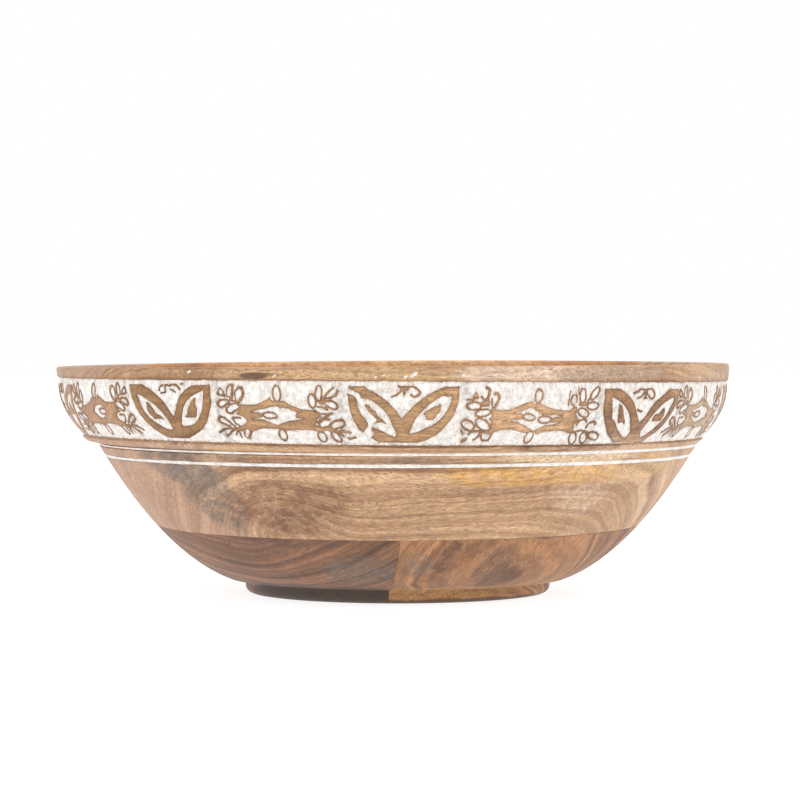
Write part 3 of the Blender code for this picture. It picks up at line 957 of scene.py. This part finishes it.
def band_paste(finish):
    """The paste of the band, with an opening wherever wood stands well inside a motif."""
    spacing = 0.5
    columns = even_angles(int(math.tau * BAND_RADIUS / spacing))
    heights = np.linspace(BAND_LOW - 0.4, BAND_HIGH + 0.4, int((BAND_HIGH - BAND_LOW) / spacing))
    grid_angle, grid_z = np.meshgrid(columns, heights)
    inside = carving(grid_angle, grid_z)
    wide, tall = len(columns), len(heights)
    hidden = inside > 0.3
    hidden = hidden[:-1] & hidden[1:]
    keep = ~(hidden & np.roll(hidden, -1, axis=1))
    height = np.array([z + height_drift(z, columns) for z in heights])
    depths = (paste_level(grid_angle, grid_z, inside), PASTE_BACK)
    skins = [place(grid_angle, band_radius(grid_z) - depth, height).reshape(-1, 3) for depth in depths]
    behind = wide * tall
    faces = []
    for row in range(tall - 1):
        for column in np.nonzero(keep[row])[0].tolist():
            after = (column + 1) % wide
            a, b = row * wide + column, row * wide + after
            c, d = b + wide, a + wide
            faces += [(a, b, c, d), (d + behind, c + behind, b + behind, a + behind)]
            open_sides = (
                (row == 0 or not keep[row - 1, column], b, a),
                (row == tall - 2 or not keep[row + 1, column], d, c),
                (not keep[row, column - 1], a, d),
                (not keep[row, after], c, b),
            )
            faces += [(start, end, end + behind, start + behind) for bare, start, end in open_sides if bare]
    mesh = bpy.data.meshes.new("band_paste")
    mesh.from_pydata(np.vstack(skins).tolist(), [], faces)
    # masks of the paste's painted shade: along the wood's edge, and in the upright hollows
    near = np.exp(np.minimum(inside, 0) / 0.35)
    for name, values in (("wood_edge_shade", near), ("flute", flute(grid_angle))):
        add_attribute(mesh, name, np.array([values, values]))
    add_piece("band_paste", mesh, "band_white_paste", finish, 60)


# The section of the paste in a scored line: share of its half width, and depth
LINE_SECTION = (
    (1.0, 0.32), (0.8, 0.14), (0.4, 0.06), (-0.4, 0.06), (-0.8, 0.14), (-1.0, 0.32), (-0.5, 0.88),
    (0.5, 0.88),
)
WANDER_SEED = 16
WANDER_TERMS = 30


def wander(angle):
    """A smooth random line round the bowl, of about unit size."""
    draw = np.random.default_rng(WANDER_SEED)
    found = np.zeros_like(angle)
    for k in range(1, WANDER_TERMS + 1):
        found += draw.normal() * np.cos(k * 3 * angle + draw.uniform(0, math.tau)) / k**0.3
    return found / 2


def line_paste(name, node, z, half, lean, finish):
    """A hand-filled ring of paste in a scored line. It is wider by lean at the right than half way."""
    columns = even_angles(1800)
    width = (half + lean * np.sin(columns)) * (1 + 0.08 * wander(columns))
    skin = Skin()
    for side, depth in LINE_SECTION:
        radius = shifted(body_radius(z + side * width) - depth, columns)
        skin.ring(columns, radius, z + height_drift(z, columns) + side * width)
    skin.join(skin.rings[-1], skin.rings[0])
    add_piece(name, skin.mesh(name), node, finish, 60)


# ---- stains, and painted shade along the bottom of the foot
BAND_STAIN = stain_and_shade_patch((0, 0, 85.5), (450, 450, 13.5), "F0ECDC", 0.9, kind="MULTIPLY")
GREY_STAINS = [
    stain_and_shade_patch((-78, -98, 50), (24, 60, 9), "756A60", 0.78, turn=-0.72),
    stain_and_shade_patch((-92, -95, 61), (20, 60, 6), "7D7269", 0.7, turn=-0.25),
    stain_and_shade_patch((-86, -105, 65.5), (24, 60, 2), "6F6259", 0.65),
]
# White flecks of paste left on the rim: middle and half length
FLECKS = (
    (-85, -127, 102.2, 0.8), (-48.8, -144.8, 100.8, 0.8), (-7, -152, 100.3, 0.6), (-3.8, -152, 101.2, 0.7),
    (5.2, -152, 100.4, 0.9), (8.6, -151.8, 101.3, 1.8), (29, -149.2, 101.2, 0.7), (132.7, -73.6, 101, 1.8),
)
FRONT_STAINS = GREY_STAINS + [
    BAND_STAIN,
    # the band
    stain_and_shade_patch((58, -139, 84), (20, 30, 10), "E9BC90", 0.78),
    stain_and_shade_patch((85, -125, 101.5), (30, 50, 2.2), "F0E8DE", 0.45),
    stain_and_shade_patch((107, -105, 86), (26, 50, 16), "DDD3CF", 0.9, kind="MULTIPLY"),
    stain_and_shade_patch((-95, -115, 86), (30, 50, 16), "DCD2BC", 0.9, kind="MULTIPLY"),
    # the body
    stain_and_shade_patch((100, -98, 56), (35, 50, 20), "DFC2A8", 0.55),
    stain_and_shade_patch((-45, -115, 44), (26, 50, 14), "80543A", 0.75),
    stain_and_shade_patch((66, -112, 59), (46, 50, 5.2), "DEA64A", 0.62),
    stain_and_shade_patch((-41, -107, 38.5), (8, 30, 7.5), "5E3E2C", 0.4),
    stain_and_shade_patch((6, -134, 65.5), (20, 30, 1.3), "6F6259", 0.6),
    stain_and_shade_patch((80, -120, 65.7), (36, 50, 2), "E9CBA4", 0.85),
    stain_and_shade_patch((75, -120, 70.6), (24, 50, 2.6), "7E563C", 0.79),
    stain_and_shade_patch((-92, -110, 70.6), (22, 50, 2.2), "CDAD94", 0.75),
    # the knot and the tones of the rim
    stain_and_shade_patch((-57.5, -141, 100.8), (5.5, 20, 1.3), "4A2E20", 0.85),
    stain_and_shade_patch((-50, -141, 101.4), (5, 20, 0.6), "6B4630", 0.7, turn=-0.06),
    stain_and_shade_patch((-90, -120, 101), (30, 30, 4), "8C6848", 0.45),
    stain_and_shade_patch((-5, -152, 101), (36, 20, 3), "CBA878", 0.6),
    stain_and_shade_patch((55, -142, 101), (32, 30, 4), "DCC0A8", 0.8),
    stain_and_shade_patch((95, -120, 101), (30, 30, 4), "B4967C", 0.8),
]
FRONT_STAINS += [stain_and_shade_patch((x, y, z), (r, 4, 0.45 * r), "F3EFE8", 0.95, turn=0.6) for x, y, z, r in FLECKS]
BACK_STAINS = [BAND_STAIN, stain_and_shade_patch((-10, 144, 101), (110, 30, 7), "F4C28E", 0.64)]
SIDE_STAINS = GREY_STAINS + [
    BAND_STAIN,
    stain_and_shade_patch((140, -60, 85), (30, 60, 15), "DCCBBB", 0.4),
    stain_and_shade_patch((104, -88, 60), (30, 40, 6), "E3BD84", 0.6),
    stain_and_shade_patch((-135, -70, 101), (40, 50, 4), "A5866A", 0.5),
]
LEFT_STAINS_AND_SHADE = [
    stain_and_shade_patch((-14, -94, 16.5), (15, 30, 6.5), "6C635B", 0.65),
    stain_and_shade_patch((-55, -86, 27), (17, 30, 5), "6A4A3A", 0.5),
    # painted shade along the bottom edge of the foot
    stain_and_shade_patch((-30, -62, 3), (60, 50, 5), "40342A", 0.95),
    stain_and_shade_patch((-40, -100, 30), (30, 30, 3), "5A3E33", 0.6),
]
RIGHT_STAINS_AND_SHADE = [
    stain_and_shade_patch((22.5, -98, 21.5), (3.2, 30, 12.5), "5E3B28", 0.79, turn=-0.62),
    stain_and_shade_patch((11, -96, 19), (6.5, 30, 6), "776A5F", 0.55),
    stain_and_shade_patch((64, -80, 25.5), (24, 30, 5), "C08A58", 0.5),
    stain_and_shade_patch((43, -86, 17.5), (6, 30, 12.5), "6E5140", 0.7, turn=-0.80),
    stain_and_shade_patch((22, -66, 4.6), (36, 30, 3.4), "BA8C52", 0.79),
    # painted shade along the bottom edge of the foot
    stain_and_shade_patch((20, -60, -1), (100, 80, 3), "4A3220", 0.9),
    stain_and_shade_patch((30, -102, 22), (2.2, 30, 11), "7A4A30", 0.6, turn=-0.75),
]

# ---- build
# The front board and the two beside it share the pith of the trunk below the front.
FRONT_PITH = (0, -0.118, -0.022)
FRONT_TURN = (0, math.radians(1), math.radians(-9))
FRONT_SWIRLS = [((-0.048, -0.104, 0.037), (0.036, 0.06, 0.026), 0.014)]
light_wood = wood(
    "mango_wood_light", ("D8B088", "BE9570", "916A4C"),
    FRONT_PITH, FRONT_TURN, FRONT_STAINS, FRONT_SWIRLS, fine=1.25,
)
back_wood = wood(
    "mango_wood_light_back", ("E0A976", "C58C5C", "996640"),
    (0, 0.15, 0.004), (0, math.radians(2), math.radians(-6)), BACK_STAINS,
)
tan_left = wood(
    "mango_wood_tan_left", ("D6B094", "BC9376", "946C54"),
    FRONT_PITH, FRONT_TURN, SIDE_STAINS, FRONT_SWIRLS, contrast=0.5,
)
tan_right = wood(
    "mango_wood_tan_right", ("DDB893", "C49C77", "9A7355"),
    FRONT_PITH, FRONT_TURN, SIDE_STAINS, FRONT_SWIRLS, contrast=0.8,
)
brown_wood = wood(
    "mango_wood_brown", ("A2704F", "7E563B", "5A3926"),
    (0.13, 0.10, -0.05), grain_turn((1, -0.685, 0.5), (-2.1, -2.3, 1)), LEFT_STAINS_AND_SHADE, fine=1.2,
)
amber_wood = wood(
    "mango_wood_amber", ("C1895A", "9C6D47", "6A442A"),
    (0.18, -0.28, -0.34), grain_turn((1, -1.52, 1.3), (-0.506, 0.522, 1)), RIGHT_STAINS_AND_SHADE, ring=1.6, fine=1.2,
)
white = paste("white_paste", dirt_and_shade=1.0)
line_white = paste("white_paste_lines", dirt_and_shade=0.2)


def tilted(vector, turn=0.0):
    return Matrix.Rotation(turn, 3, "Z") @ Matrix.Rotation(GLUE_TILT, 3, "X") @ Vector(vector)


up = tilted((0, 0, 1))
back = tilted((0, 1, 0))
above = Vector((0, 0, (GLUE_HEIGHT + GLUE_GAP / 2) * MM))
below = Vector((0, 0, (GLUE_HEIGHT - GLUE_GAP / 2) * MM))
outer_seam = back * (UPPER_SEAM + SEAM_GAP) * MM
inner_seam = back * (UPPER_SEAM - SEAM_GAP) * MM
base = (above, -up, True)
front = [base, (above - outer_seam, back, True)]
rear = [base, (above + outer_seam, -back, True)]
sides = [base, (above - inner_seam, -back, True), (above + inner_seam, back, True)]
left = sides + [(Vector(), Vector((1, 0, 0)), False)]
right = sides + [(Vector(), Vector((-1, 0, 0)), False)]
across = tilted((1, 0, 0), LOWER_TURN)
top = (below, tilted((0, 0, 1), LOWER_TURN), True)
low_left = [top, (below + across * (LOWER_SEAM - GLUE_GAP) * MM, across, True)]
low_right = [top, (below + across * (LOWER_SEAM + GLUE_GAP) * MM, -across, True)]

whole = turned_solid()
board("front_board", "upper_front_board", front, light_wood, whole)
board("back_board", "upper_back_board", rear, back_wood, whole)
board("left_board", "upper_left_board", left, tan_left, whole)
board("right_board", "upper_right_board", right, tan_right, whole)
board("lower_left", "lower_left_board", low_left, brown_wood, whole)
board("lower_right", "lower_right_board", low_right, amber_wood, whole)
bpy.data.meshes.remove(whole)

band_paste(white)
line_paste("upper_line_paste", "upper_line_white_paste", UPPER_LINE, 0.62, 0.22, line_white)
line_paste("lower_line_paste", "lower_line_white_paste", LOWER_LINE, 0.78, 0.08, line_white)

# ---- stage
FLOOR = 6
FLOOR_DROP = 0.0003
floor_mesh = bpy.data.meshes.new("floor")
corners = [(-FLOOR, -FLOOR, 0), (FLOOR, -FLOOR, 0), (FLOOR, FLOOR, 0), (-FLOOR, FLOOR, 0)]
floor_mesh.from_pydata(corners, [], [(0, 1, 2, 3)])
floor = add_object("floor", floor_mesh)
floor.location.z = -FLOOR_DROP
pale = bpy.data.materials.new("pale_floor")
pale.use_nodes = True
shader = pale.node_tree.nodes["Principled BSDF"].inputs
shader["Base Color"].default_value = (0.3, 0.3, 0.3, 1)
shader["Roughness"].default_value = 0.9
shader["Specular IOR Level"].default_value = 0.1
shader["Emission Color"].default_value = (1, 1, 1, 1)
shader["Emission Strength"].default_value = 0.86
floor_mesh.materials.append(pale)

world = bpy.data.worlds.new("studio")
world.use_nodes = True
background = world.node_tree.nodes["Background"].inputs
background["Color"].default_value = (1, 1, 1, 1)
background["Strength"].default_value = 1.0
scene.world = world

LIGHT_AIM = Vector((0, 0, 0.06))


def softbox(name, at, size, power):
    data = bpy.data.lights.new(name, "AREA")
    data.shape = "RECTANGLE"
    data.size = data.size_y = size
    data.energy = power
    lamp = add_object(name, data)
    lamp.location = at
    lamp.rotation_euler = (Vector(at) - LIGHT_AIM).to_track_quat("Z", "Y").to_euler()


softbox("softbox_left", (-1.1, -1.2, 1.3), 0.8, 4)
softbox("softbox_right", (1.2, -0.9, 1.1), 0.8, 3)
softbox("softbox_top", (0, 0.3, 1.6), 1.4, 3)

# The camera stands a little above the rim, and looks slightly down.
CAMERA_AT = (0, -1.5057, 0.1251)
CAMERA_DOWN = 1.4426
CAMERA_RIGHT = 0.1239
camera_data = bpy.data.cameras.new("camera")
camera_data.lens = 148.8
camera_data.sensor_width = 36
camera = add_object("camera", camera_data)
camera.location = CAMERA_AT
camera.rotation_euler = (math.radians(90 - CAMERA_DOWN), 0.0, math.radians(-CAMERA_RIGHT))
scene.camera = camera
scene.view_settings.view_transform = "Standard"
scene.view_settings.look = "None"
